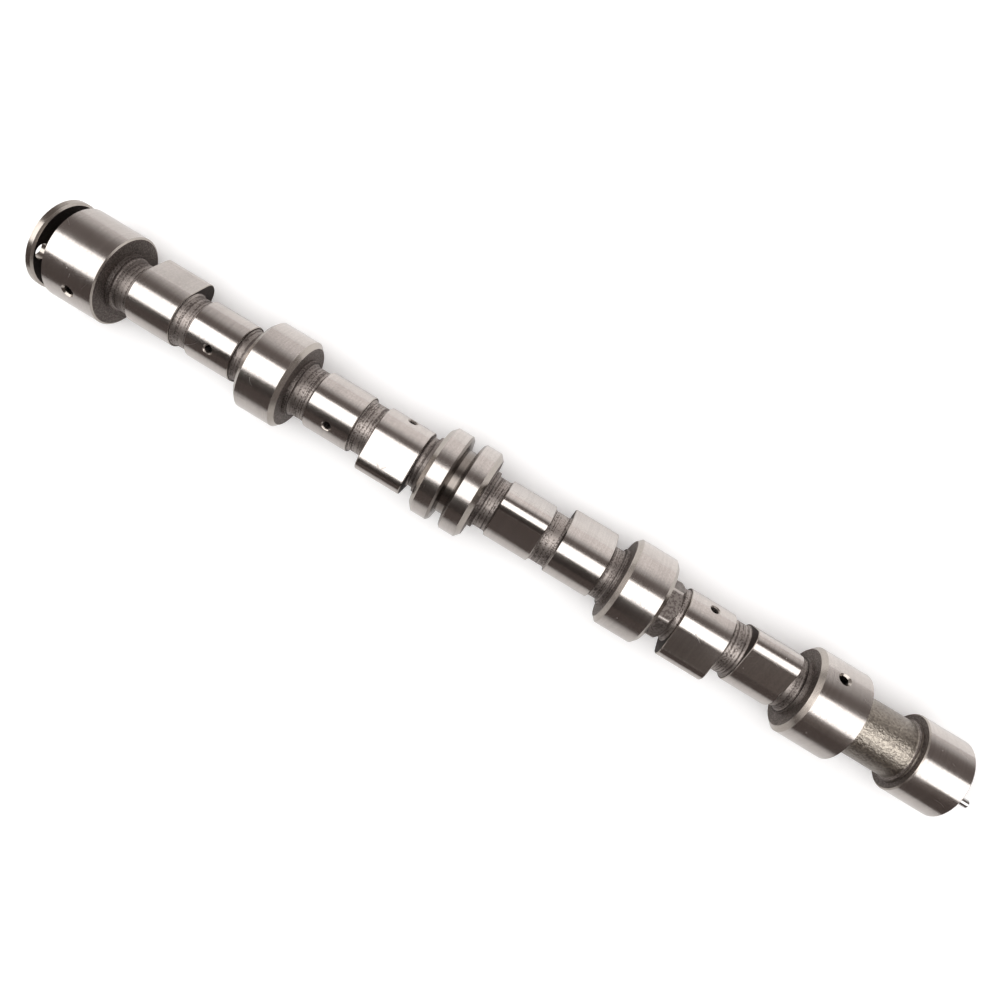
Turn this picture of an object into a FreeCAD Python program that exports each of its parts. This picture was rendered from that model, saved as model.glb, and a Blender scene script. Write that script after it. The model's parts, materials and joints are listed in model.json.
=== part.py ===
"""Overhead camshaft of a four-cylinder, eight-valve engine, lying on its bearing journals.

One iron casting carries five bearing journals, eight lobes, a thrust flange and a wrench hexagon.
A dowel in the drive end turns the sprocket, and a plug closes the rear end of the oil gallery.

Millimetres and degrees. The shaft runs along X with its drive end at +X, and Z is up. Stations are
distances along the shaft from the middle bearing. Turning angles are counted from straight up
towards -Y. The origin is under the middle of the whole length, on the surface that it lies on.
"""
import FreeCAD
import Part
import math
import os

# Bearing journals, each smaller than its rear neighbour so that the shaft slides in from the rear
rear_journal_diameter = 40.44
journal_grade = 0.25
inner_bearing_pitch = 86.4
outer_bearing_pitch = 87.6
rear_journal_width = 23.9
inner_journal_width = 19.4
middle_journal_width = 24.6
drive_journal_width = 23.0
journal_chamfer_length = 0.45
journal_chamfer_depth = 0.8
bevel_length = 1.8
bevel_depth = 1.9
middle_bevel_length = 2.1
middle_bevel_depth = 2.4

# Oil groove round the middle journal
oil_groove_mouth = 6.8
oil_groove_floor = 2.9
oil_groove_depth = 5.4
oil_groove_mouth_chamfer = 1.0

# Thrust groove and flange behind the rear journal
thrust_groove_width = 4.8
thrust_groove_diameter = 21.0
thrust_flange_diameter = 39.3
thrust_flange_thickness = 3.5
thrust_flange_chamfer_length = 0.7
thrust_flange_chamfer_depth = 1.0
flange_hole_diameter = 7.0
flange_hole_offset = 14.3
flange_hole_angle = 29.0

# Lobes, two for each cylinder
inner_cylinder_pitch = 87.2
outer_cylinder_pitch = 85.4
cylinder_offset = 1.45
lobe_spacing = 28.5
lobe_width = 20.8
base_circle_diameter = 25.9
lobe_lift = 5.25
nose_radius = 6.0
flank_radius = 150.0
lobe_edge_break = 0.3
drive_cylinder_lobe_angle = 75.0
lobe_separation = 105.0

# Cast necks and the low collars that the facing cuts leave beside the journals
neck_diameter = 23.0
neck_fillet = 1.0
collar_diameter = 25.9
collar_width = 2.0
long_neck_diameter = 26.0
long_neck_length = 27.3
ring_diameter = 28.6
ring_width = 1.0

# Wrench hexagon between the fourth journal and its lobe
hexagon_across_flats = 23.0
hexagon_length = 7.4
hexagon_angle = -12.2
hexagon_corner_rounding = 0.8

# Drive end
drive_end_diameter = 34.5
drive_end_length = 21.2
drive_end_chamfer = 0.5
bolt_thread_diameter = 10.0
bolt_hole_depth = 30.0
bolt_hole_mouth = 11.5
dowel_diameter = 3.5
dowel_seat_depth = 8.0
dowel_reach = 6.7
dowel_offset = 11.0
dowel_angle = 23.5
dowel_chamfer = 0.5

# Oil ways: a gallery along the axis, fed at the end journals and opening in every lobe
gallery_diameter = 8.0
gallery_past_feed = 5.0
plug_diameter = 9.0
plug_length = 6.0
plug_recess = 0.6
plug_wall = 1.2
plug_floor = 2.5
drill_point_angle = 118.0
lobe_hole_diameter = 3.3
lobe_hole_mouth = 4.6
lobe_hole_lag = 127.0
lobe_hole_shift = 0.3
second_lobe_hole_advance = 6.0
feed_hole_diameter = 4.0
feed_hole_mouth = 5.8
rear_feed_angle = 50.0
rear_feed_offset = 0.7
drive_feed_angle = -41.0
drive_feed_offset = -1.8

# Turn of each cylinder's pair of lobes, from the rear, for the firing order 1-3-4-2 counted from
# the drive end
firing_turns = (180.0, 90.0, -90.0, 0.0)

# Sizes that follow from the ones above
bearing_stations = (
    -inner_bearing_pitch - outer_bearing_pitch,
    -inner_bearing_pitch,
    0.0,
    inner_bearing_pitch,
    inner_bearing_pitch + outer_bearing_pitch,
)
journal_radii = [(rear_journal_diameter - i * journal_grade) / 2 for i in range(5)]
journal_widths = (
    rear_journal_width,
    inner_journal_width,
    middle_journal_width,
    inner_journal_width,
    drive_journal_width,
)
cylinder_stations = (
    cylinder_offset - inner_cylinder_pitch / 2 - outer_cylinder_pitch,
    cylinder_offset - inner_cylinder_pitch / 2,
    cylinder_offset + inner_cylinder_pitch / 2,
    cylinder_offset + inner_cylinder_pitch / 2 + outer_cylinder_pitch,
)
neck_radius = neck_diameter / 2
collar_radius = collar_diameter / 2
base_radius = base_circle_diameter / 2
nose_offset = base_radius + lobe_lift - nose_radius
rear_end = bearing_stations[0] - rear_journal_width / 2 - thrust_groove_width - thrust_flange_thickness
drive_shoulder = bearing_stations[4] + drive_journal_width / 2 + long_neck_length
drive_end = drive_shoulder + drive_end_length
axis_height = max(max(journal_radii), thrust_flange_diameter / 2)
origin_station = (rear_end + drive_end + dowel_reach) / 2


def lobe_list():
    """Station and nose angle of each lobe, from the rear."""
    found = []
    for centre, turn in zip(cylinder_stations, firing_turns):
        rear_angle = drive_cylinder_lobe_angle + turn
        found.append((centre - lobe_spacing / 2, rear_angle))
        found.append((centre + lobe_spacing / 2, rear_angle - lobe_separation))
    return found


def outward(angle):
    """Unit vector square to the shaft at a turning angle."""
    turn = math.radians(angle)
    return FreeCAD.Vector(0, -math.sin(turn), math.cos(turn))


class Outline:
    """Half section of the shaft, as station and radius, drawn from its rear end to its drive end."""

    def __init__(self, station, radius):
        self.edges = []
        self.start = self.here = FreeCAD.Vector(station, 0, radius)

    def line(self, station, radius):
        there = FreeCAD.Vector(station, 0, radius)
        if there.distanceToPoint(self.here) > 1e-6:
            self.edges.append(Part.LineSegment(self.here, there).toShape())
            self.here = there

    def hollow(self, centre_station, centre_radius, station, radius):
        """Quarter of a hollow round corner about the given centre."""
        centre = FreeCAD.Vector(centre_station, 0, centre_radius)
        there = FreeCAD.Vector(station, 0, radius)
        towards = (self.here + there) * 0.5 - centre
        middle = centre + towards.normalize() * self.here.distanceToPoint(centre)
        self.edges.append(Part.Arc(self.here, middle, there).toShape())
        self.here = there

    def neck(self, station, radius, fillet):
        """Neck from here to a wall at the station, with a hollow corner at both ends."""
        wall = self.here.x
        self.line(wall, radius + fillet)
        self.hollow(wall + fillet, radius + fillet, wall + fillet, radius)
        self.line(station - fillet, radius)
        self.hollow(station - fillet, radius + fillet, station, radius + fillet)

    def drum(self, start, end, radius, rear_cut, drive_cut):
        """Cylinder with a cone at each end; a cut is its length and its depth."""
        self.line(start, radius - rear_cut[1])
        self.line(start + rear_cut[0], radius)
        self.line(end - drive_cut[0], radius)
        self.line(end, radius - drive_cut[1])

    def solid(self):
        self.line(self.start.x, self.start.z)
        wire = Part.Wire(self.edges)
        axis = FreeCAD.Vector(1, 0, 0)
        return Part.Face(wire).revolve(FreeCAD.Vector(0, 0, 0), axis, 360)


def rear_end_outline(outline):
    """Thrust flange and the groove that the thrust plate sits in."""
    cut = (thrust_flange_chamfer_length, thrust_flange_chamfer_depth)
    flange_front = rear_end + thrust_flange_thickness
    outline.drum(rear_end, flange_front, thrust_flange_diameter / 2, cut, cut)
    outline.line(flange_front, thrust_groove_diameter / 2)
    outline.line(flange_front + thrust_groove_width, thrust_groove_diameter / 2)


def journal_outline(outline, number):
    """One bearing journal; the middle one has an oil groove round it."""
    radius = journal_radii[number]
    start = bearing_stations[number] - journal_widths[number] / 2
    end = start + journal_widths[number]
    edge = (journal_chamfer_length, journal_chamfer_depth)
    bevel = (bevel_length, bevel_depth)
    if number == 0:
        outline.drum(start, end, radius, edge, edge)
    elif number == 4:
        outline.drum(start, end, radius, bevel, edge)
    elif number != 2:
        outline.drum(start, end, radius, bevel, bevel)
    else:
        outer = (middle_bevel_length, middle_bevel_depth)
        lip = (oil_groove_mouth_chamfer, oil_groove_mouth_chamfer)
        middle = bearing_stations[number]
        lip_reach = oil_groove_mouth / 2 - oil_groove_mouth_chamfer
        outline.drum(start, middle - lip_reach, radius, outer, lip)
        outline.line(middle - oil_groove_floor / 2, radius - oil_groove_depth)
        outline.line(middle + oil_groove_floor / 2, radius - oil_groove_depth)
        outline.drum(middle + lip_reach, end, radius, lip, outer)


def bay_outline(outline, number, lobes):
    """From one journal over the two lobes of a cylinder to the next journal."""
    here = outline.here.x
    if number != 3:
        outline.line(here, collar_radius)
        outline.line(here + collar_width, collar_radius)
    for station, _ in lobes:
        outline.neck(station - lobe_width / 2, neck_radius, neck_fillet)
        outline.line(station + lobe_width / 2, neck_radius + neck_fillet)
    wall = bearing_stations[number + 1] - journal_widths[number + 1] / 2
    outline.neck(wall - collar_width, neck_radius, neck_fillet)
    outline.line(wall - collar_width, collar_radius)
    outline.line(wall, collar_radius)


def drive_end_outline(outline):
    """Long neck, its ring and the journal that the oil seal and the sprocket sit on."""
    outline.neck(drive_shoulder - ring_width, long_neck_diameter / 2, neck_fillet)
    outline.line(drive_shoulder - ring_width, ring_diameter / 2)
    outline.line(drive_shoulder, ring_diameter / 2)
    cut = (drive_end_chamfer, drive_end_chamfer)
    outline.drum(drive_shoulder, drive_end, drive_end_diameter / 2, cut, cut)
    outline.line(drive_end, 0)


def spine():
    """Everything round on the shaft, as one turned solid."""
    outline = Outline(rear_end, 0)
    rear_end_outline(outline)
    lobes = lobe_list()
    for number in range(5):
        journal_outline(outline, number)
        if number < 4:
            bay_outline(outline, number, lobes[2 * number:2 * number + 2])
    drive_end_outline(outline)
    return outline.solid()


def lobe_wire():
    """Cam outline with its nose straight up: base circle, two flanks and the nose."""
    reach = flank_radius - base_radius
    along = (reach ** 2 - (flank_radius - nose_radius) ** 2 + nose_offset ** 2) / (2 * nose_offset)
    across = math.sqrt(reach ** 2 - along ** 2)
    base_turn = math.atan2(across, -along)
    nose_turn = math.atan2(across, nose_offset - along)
    middle_turn = (base_turn + nose_turn) / 2

    def at(centre_y, centre_z, radius, turn):
        return FreeCAD.Vector(0, centre_y + radius * math.sin(turn), centre_z + radius * math.cos(turn))

    edges = [Part.Arc(at(0, 0, base_radius, base_turn), at(0, 0, base_radius, math.pi),
                      at(0, 0, base_radius, -base_turn)).toShape()]
    for side in (-1, 1):
        low = at(0, 0, base_radius, side * base_turn)
        middle = at(-side * across, along, flank_radius, side * middle_turn)
        high = at(0, nose_offset, nose_radius, side * nose_turn)
        edges.append(Part.Arc(low, middle, high).toShape())
    edges.append(Part.Arc(at(0, nose_offset, nose_radius, -nose_turn),
                          at(0, nose_offset, nose_radius, 0),
                          at(0, nose_offset, nose_radius, nose_turn)).toShape())
    return Part.Wire(Part.__sortEdges__(edges))


def lobe(station, angle):
    """One lobe at its station, turned to its nose angle."""
    block = Part.Face(lobe_wire()).extrude(FreeCAD.Vector(lobe_width, 0, 0))
    rim = [e for e in block.Edges if e.BoundBox.XLength < 1e-6]
    block = block.makeChamfer(lobe_edge_break, rim)
    block.translate(FreeCAD.Vector(station - lobe_width / 2, 0, 0))
    block.rotate(FreeCAD.Vector(0, 0, 0), FreeCAD.Vector(1, 0, 0), angle)
    return block


def hexagon():
    """Wrench hexagon with rounded corners, which run out in a cone towards the lobe."""
    foot = FreeCAD.Vector(bearing_stations[3] + journal_widths[3] / 2, 0, 0)
    along = FreeCAD.Vector(1, 0, 0)
    corner = hexagon_across_flats / math.sqrt(3)
    points = [foot + outward(hexagon_angle + 30 + 60 * i) * corner for i in range(7)]
    prism = Part.Face(Part.makePolygon(points)).extrude(along * hexagon_length)
    corners = [e for e in prism.Edges if e.BoundBox.XLength > hexagon_length / 2]
    prism = prism.makeFillet(hexagon_corner_rounding, corners)
    runout = Part.makeCone(neck_radius + hexagon_length, neck_radius, hexagon_length, foot, along)
    return prism.common(runout)


def drilling(station, angle, surface_radius, diameter, mouth):
    """Radial oil hole from the surface to the axis, with a countersunk mouth."""
    out = outward(angle)
    foot = FreeCAD.Vector(station, 0, 0)
    hole = Part.makeCylinder(diameter / 2, surface_radius + mouth, foot, out)
    sink_depth = (mouth - diameter) / 2
    sink_foot = foot + out * (surface_radius - sink_depth)
    sink = Part.makeCone(diameter / 2, mouth, 2 * sink_depth + diameter / 2, sink_foot, out)
    return hole.fuse(sink)


def blind_hole(mouth, inward, diameter, depth):
    """Drilled hole that ends in the cone of the drill's point."""
    point = diameter / 2 / math.tan(math.radians(drill_point_angle / 2))
    bore = Part.makeCylinder(diameter / 2, depth, mouth, inward)
    return bore.fuse(Part.makeCone(diameter / 2, 0, point, mouth + inward * depth, inward))


def oil_ways():
    """Gallery with its plug's seat, the lobes' holes and the two feed holes."""
    along = FreeCAD.Vector(1, 0, 0)
    last_feed = bearing_stations[4] + drive_feed_offset
    length = last_feed + gallery_past_feed - rear_end
    foot = FreeCAD.Vector(rear_end, 0, 0)
    bits = [blind_hole(foot, along, gallery_diameter, length)]
    bits.append(Part.makeCylinder(plug_diameter / 2, plug_recess + plug_length, foot, along))
    for number, (station, nose_angle) in enumerate(lobe_list()):
        angle = nose_angle - lobe_hole_lag
        if number == 1:
            angle += second_lobe_hole_advance
        bits.append(drilling(station + lobe_hole_shift, angle, base_radius,
                             lobe_hole_diameter, lobe_hole_mouth))
    bits.append(drilling(bearing_stations[0] + rear_feed_offset, rear_feed_angle, journal_radii[0],
                         feed_hole_diameter, feed_hole_mouth))
    bits.append(drilling(last_feed, drive_feed_angle, journal_radii[4],
                         feed_hole_diameter, feed_hole_mouth))
    return bits


def end_holes():
    """Hole through the thrust flange, bolt hole and dowel hole in the drive end."""
    along = FreeCAD.Vector(1, 0, 0)
    flange_foot = FreeCAD.Vector(rear_end, 0, 0) + outward(flange_hole_angle) * flange_hole_offset
    flange_hole = Part.makeCylinder(flange_hole_diameter / 2, thrust_flange_thickness, flange_foot, along)
    mouth = FreeCAD.Vector(drive_end, 0, 0)
    bolt_hole = blind_hole(mouth, -along, bolt_thread_diameter, bolt_hole_depth)
    sink_depth = (bolt_hole_mouth - bolt_thread_diameter) / 2
    sink = Part.makeCone(bolt_hole_mouth / 2, bolt_thread_diameter / 2, sink_depth, mouth, -along)
    dowel_mouth = mouth + outward(dowel_angle) * dowel_offset
    dowel_hole = Part.makeCylinder(dowel_diameter / 2, dowel_seat_depth, dowel_mouth, -along)
    return [flange_hole, bolt_hole, sink, dowel_hole]


def camshaft():
    """The casting after machining."""
    lobes = [lobe(station, angle) for station, angle in lobe_list()]
    body = spine().multiFuse(lobes + [hexagon()]).removeSplitter()
    return body.cut(oil_ways() + end_holes())


def dowel_pin():
    """Dowel with rounded-off ends, pressed into the drive end."""
    foot = FreeCAD.Vector(drive_end - dowel_seat_depth, 0, 0) + outward(dowel_angle) * dowel_offset
    pin = Part.makeCylinder(dowel_diameter / 2, dowel_seat_depth + dowel_reach, foot, FreeCAD.Vector(1, 0, 0))
    rims = [e for e in pin.Edges if e.BoundBox.XLength < 1e-6]
    return pin.makeChamfer(dowel_chamfer, rims)


def gallery_plug():
    """Cup plug pressed into the rear end of the gallery, its open side outwards."""
    foot = FreeCAD.Vector(rear_end + plug_recess, 0, 0)
    along = FreeCAD.Vector(1, 0, 0)
    plug = Part.makeCylinder(plug_diameter / 2, plug_length, foot, along)
    hollow = Part.makeCylinder(plug_diameter / 2 - plug_wall, plug_length - plug_floor, foot, along)
    return plug.cut(hollow)


def write(name, shape):
    """Move a piece to the part's own frame and write it."""
    shape.translate(FreeCAD.Vector(-origin_station, 0, axis_height))
    shape.exportStep(os.path.join("parts", name + ".step"))
    box = shape.BoundBox
    print(name, shape.isValid(), len(shape.Solids), round(shape.Volume), "mm3",
          [round(v, 2) for v in (box.XMin, box.XMax, box.YMin, box.YMax, box.ZMin, box.ZMax)])


os.makedirs("parts", exist_ok=True)
write("camshaft", camshaft())
write("dowel_pin", dowel_pin())
write("gallery_plug", gallery_plug())
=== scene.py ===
"""Camshaft of cast iron with ground journals and lobes, lying on a pale table.

Metres and degrees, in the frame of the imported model: the shaft runs along X with its drive end at
+X, and Z is up from the table. Stations are distances along X.
"""
import json
import math
from types import SimpleNamespace

import bpy
from bpy.props import FloatProperty, FloatVectorProperty, IntProperty, PointerProperty
from bpy.types import Operator, Panel, PropertyGroup
from mathutils import Matrix, Vector


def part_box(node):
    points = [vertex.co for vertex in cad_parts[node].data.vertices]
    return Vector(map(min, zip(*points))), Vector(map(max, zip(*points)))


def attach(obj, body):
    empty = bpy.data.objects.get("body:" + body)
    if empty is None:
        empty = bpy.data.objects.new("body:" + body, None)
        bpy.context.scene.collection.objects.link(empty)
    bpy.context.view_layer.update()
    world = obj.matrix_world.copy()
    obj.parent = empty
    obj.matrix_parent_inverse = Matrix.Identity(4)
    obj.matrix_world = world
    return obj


bl_info = {
    "name": "Camshaft",
    "version": (1, 0, 0),
    "blender": (4, 5, 0),
    "location": "View3D > Sidebar > Camshaft",
    "description": "Finishes the camshaft's metal and sets up its table, room, softbox and camera",
    "category": "Object",
}

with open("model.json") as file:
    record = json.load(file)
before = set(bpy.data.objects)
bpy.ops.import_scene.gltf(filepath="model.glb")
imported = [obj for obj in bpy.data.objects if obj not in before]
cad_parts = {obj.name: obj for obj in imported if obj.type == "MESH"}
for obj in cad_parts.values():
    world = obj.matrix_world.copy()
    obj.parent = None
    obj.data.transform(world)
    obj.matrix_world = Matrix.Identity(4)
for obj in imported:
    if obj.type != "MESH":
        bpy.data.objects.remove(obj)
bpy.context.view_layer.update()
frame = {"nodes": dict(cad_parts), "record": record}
mounts = {mount["name"]: mount for mount in frame["record"]["mounts"]}

AXIS_HEIGHT = mounts["journal_1"]["pos_m"][2]
REAR_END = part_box("camshaft")[0][0]
DRIVE_END = mounts["drive_face"]["pos_m"][0]
MIDDLE_RINGS = [mounts[name]["pos_m"][0] for name in ("journal_3_rear_ring", "journal_3_drive_ring")]
MIDDLE_STATION = sum(MIDDLE_RINGS) / 2
MILLIMETRE = 0.001

# How far a surface leans along the shaft, from 0 on a wall round it to 1 on a side face
SLANT_LEAN = 0.5
SIDE_LEAN = 0.95
# How far it faces away from the axis, on ground walls and on the countersinks of the holes
GROUND_FACING = 0.8
MOUTH_FACING = (0.35, 0.75)
# Inputs and output of a Mix node for each kind of value
MIX_SOCKETS = {"FLOAT": ((0, 2, 3), 0), "VECTOR": ((0, 4, 5), 1), "RGBA": ((0, 6, 7), 2)}


def length(name, description, default):
    return FloatProperty(name=name, description=description, default=default, min=0.0,
                         unit="LENGTH", precision=6)


def colour(name, description, default):
    return FloatVectorProperty(name=name, description=description, default=default, min=0.0, max=1.0,
                               size=3, subtype="COLOR")


def share(name, description, default):
    return FloatProperty(name=name, description=description, default=default, min=0.0, max=1.0,
                         subtype="FACTOR")


def pair(name, description, first, second, unit="NONE"):
    """Two values that belong together, mostly the ends of a fade."""
    return FloatVectorProperty(name=name, description=description, default=(first, second), size=2,
                               unit=unit, precision=4)


def angle(name, description, degrees):
    return FloatProperty(name=name, description=description, default=math.radians(degrees),
                         subtype="ANGLE", unit="ROTATION")


class CamshaftLayout(PropertyGroup):
    """Where lobes, necks, bevels, scale and painted shade lie along the shaft."""

    inner_cylinder_pitch: length("Inner cylinder pitch", "Distance between the middle cylinders", 0.0872)
    outer_cylinder_pitch: length("Outer cylinder pitch", "From a middle to an end cylinder", 0.0854)
    cylinder_offset: length("Cylinder offset", "Cylinders' middle, past the middle bearing", 0.00145)
    lobe_spacing: length("Lobe spacing", "Distance between a cylinder's two lobes", 0.0285)
    lobe_width: length("Lobe width", "Width of a lobe", 0.0208)
    neck_radius: length("Neck radius", "Largest radius that is still a neck or a hole", 0.0126)
    bevel_radius: length("Bevel radius", "Least radius of a turned bevel", 0.01575)
    base_radius: length("Base radius", "Radius of the lobes' base circle", 0.01295)
    chord_sag: length("Chord sag", "How far the mesh's facets lie inside the base circle", 0.00009)
    facet_slack: length("Facet slack", "Spread of their radius beyond that", 0.00001)
    rim_width: length("Rim width", "Width of the thrust flange's turned rim", 0.0034)
    ring_width: length("Ring width", "Width of the ring behind the drive-end journal", 0.001)
    hexagon_length: length("Hexagon length", "Length of the wrench hexagon", 0.0074)
    # Worn edges and painted highlight: the hexagon's corners take the bright ground colour.
    hexagon_corner: pair("Hexagon corner", "Radii over which the corners turn bright",
                         0.0128, 0.0131, "LENGTH")
    # Necks turn darker with distance from this station, over the reach below.
    palest_neck_station: length("Clean station", "Middle of the necks with the least scale", 0.03)
    neck_darkening_reach: pair("Clean reach", "Distances from there over which scale thickens",
                      0.07, 0.175, "LENGTH")
    # Painted shade: necks are darker within these distances from a journal, which shades them.
    neck_shade_reach: pair("Neck scale", "Distances from a journal over which the necks turn cleaner",
                     0.003, 0.011, "LENGTH")
    # Side faces farther than this from a journal, mostly the lobes' sides, turn black: partly cast scale,
    # partly painted shade.
    black_sides: pair("Black sides", "Distances from a journal over which side faces turn black",
                      0.003, 0.0045, "LENGTH")
    # Side faces turn paler from these stations towards the drive end.
    paler_sides: pair("Paler sides", "Stations over which side faces turn paler",
                      -0.16, -0.1, "LENGTH")


class CamshaftMetal(PropertyGroup):
    """Colours, gloss and tool marks of the iron and steel."""

    ground_colour: colour("Ground colour", "Bright ground iron", (0.62, 0.577, 0.545))
    turned_colour: colour("Turned colour", "Bevels and end faces as turned", (0.45, 0.41, 0.37))
    cast_colour: colour("Cast colour", "Raised parts of the necks and side faces", (0.4, 0.357, 0.33))
    crust_colour: colour("Crust colour", "Dark scale in low parts of the cast skin", (0.12, 0.101, 0.092))
    # Black scale on the lobes' side faces, and painted shade inside the drilled holes.
    scale_and_shade_colour: colour("Soot colour", "Black scale in the holes and on the lobes' side faces",
                        (0.04, 0.032, 0.029))
    long_neck_colour: colour("Long neck colour", "Cleaned skin of the long neck", (0.46, 0.415, 0.355))
    dowel_colour: colour("Dowel colour", "Ground steel of the dowel", (0.62, 0.61, 0.6))
    plug_colour: colour("Plug colour", "Pressed steel of the gallery plug", (0.5, 0.48, 0.44))
    ground_roughness: share("Ground roughness", "Blur of the ground surfaces", 0.15)
    turned_roughness: share("Turned roughness", "Blur of the turned surfaces", 0.22)
    cast_roughness: share("Cast roughness", "Blur of the cast skin", 0.42)
    long_neck_roughness: share("Long neck roughness", "Blur of the long neck", 0.32)
    dowel_roughness: share("Dowel roughness", "Blur of the dowel", 0.16)
    plug_roughness: share("Plug roughness", "Blur of the gallery plug", 0.32)
    thread_roughness: share("Thread roughness", "Blur of the bolt thread", 0.3)
    grinding_pitch: length("Grinding pitch", "Distance between grinding marks", 0.0006)
    grinding_depth: length("Grinding depth", "Depth of the grinding marks", 0.0000022)
    turning_pitch: length("Turning pitch", "Distance between turning marks", 0.0006)
    turning_depth: length("Turning depth", "Depth of the turning marks", 0.00004)
    dowel_pitch: length("Dowel pitch", "Distance between the dowel's grinding marks", 0.0004)
    plug_pitch: length("Plug pitch", "Distance between the plug's pressing marks", 0.0007)
    grain_size: length("Grain size", "Size of the grains on the turned necks", 0.0006)
    grain_depth: length("Grain depth", "Height of the grains on the turned necks", 0.00005)
    rough_grain_size: length("Rough grain size", "Grains on the long neck and the hexagon", 0.0009)
    rough_grain_depth: length("Rough grain depth", "Height of those grains", 0.0003)
    steel_smear_size: length("Steel smear size", "Size of the smears on the small pieces", 0.006)


class CamshaftWear(PropertyGroup):
    """How strongly scale, marks, grain and painted shade show."""

    smear_tone: share("Smear tone", "How far smears darken the ground iron", 0.09)
    grinding_tone: share("Grinding tone", "How far grinding marks darken it", 0.13)
    grain_tone: share("Grain tone", "How far its grain darkens it", 0.12)
    scratch_tone: share("Scratch tone", "How far hair scratches darken it", 0.25)
    turning_tone: share("Turning tone", "How far turning marks darken the turned iron", 0.2)
    # Darkens the turned iron in the middle journal's groove by this share.
    groove_tone: share("Groove tone", "How far scale darkens the middle journal's groove", 0.6)
    steel_tone: share("Steel tone", "How far marks darken the small pieces", 0.12)
    grain_part: share("Grain part", "Share of grain, beside turning marks, in necks' scale", 0.45)
    neck_window: pair("Neck window", "Heights over which the necks are worn bare", 0.28, 0.68)
    # Necks far from the palest ones keep this share of their paler colour over the dark crust colour, so
    # they look darker.
    far_neck_share: share("Far bare", "Bare iron on the necks far from the cleanest ones", 0.85)
    # Painted shade: share of the paler colour left on the necks beside a journal; less makes them darker
    # there.
    shaded_neck_bare: share("Beside bare", "Bare iron on the necks beside a journal", 0.58)
    side_window: pair("Side window", "Heights over which side faces are worn bare", 0.35, 1.0)
    side_bare: share("Side bare", "Bare iron on the high parts of the side faces", 0.35)
    # How much paler the side faces turn towards the drive end.
    paler_side_share: share("Paler bare", "Bare iron added on the paler side faces", 0.12)
    # How black the lobes' side faces are painted, as scale and painted shade.
    black_share: share("Black share", "How black the lobes' side faces are", 0.85)
    low_bare: share("Low bare", "Bare iron in the low parts of the long neck", 0.42)
    # Painted shade: the long neck darkens from its top down to its flanks over these facings.
    flank_shade_window: pair("Flank window", "Upward facings over which the long neck comes clean", 0.6, 0.92)
    shaded_flank_bare: share("Flank bare", "Bare iron on the long neck's flanks", 0.5)
    hexagon_window: pair("Hexagon window", "Heights over which the hexagon is worn", 0.2, 0.8)
    hexagon_bare: pair("Hexagon bare", "Bare iron on the hexagon's low and high parts", 0.04, 0.48)
    scale_blur: share("Scale blur", "Roughness that scale adds", 0.15)
    smear_blur: share("Smear blur", "Roughness that smears add to the ground iron", 0.05)
    steel_blur: share("Steel blur", "Roughness that smears add to the small pieces", 0.1)
    grain_window: pair("Grain window", "Heights over which the ground iron turns duller", 0.5, 0.9)
    grain_blur: share("Grain blur", "Roughness that grain adds to the ground iron", 0.035)
    scratch_roughness: share("Scratch roughness", "Roughness in a hair scratch", 0.4)
    speck_roughness: share("Speck roughness", "Roughness of a speck", 0.6)
    grinding_wander: share("Grinding wander", "How far grinding marks change round the shaft", 0.5)
    turning_wander: share("Turning wander", "How far turning marks change round the shaft", 0.4)
    steel_wander: share("Steel wander", "How far the small pieces' marks change round them", 1.0)
    side_relief: share("Side relief", "Height of turning marks on side faces, of that on necks", 0.2)
    turned_relief: share("Turned relief", "Height of turning marks on turned iron, of that on necks", 0.15)
    hexagon_relief: share("Hexagon relief", "Height of grain on the hexagon, of that on the long neck", 0.5)


class CamshaftThread(PropertyGroup):
    """Thread in the drive end's bolt hole."""

    pitch: length("Pitch", "Distance from turn to turn", 0.0015)
    depth: length("Depth", "Height of the thread above its root", 0.00075)
    crest: share("Crest", "Flat width of the crest, in turns", 0.16)
    lead_in: length("Lead-in", "Plain countersink before the first turn", 0.00075)
    run_out: length("Run-out", "Plain hole beyond the last turn", 0.003)
    steps: IntProperty(name="Steps", description="Straight steps in one turn", default=48, min=12)


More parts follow.
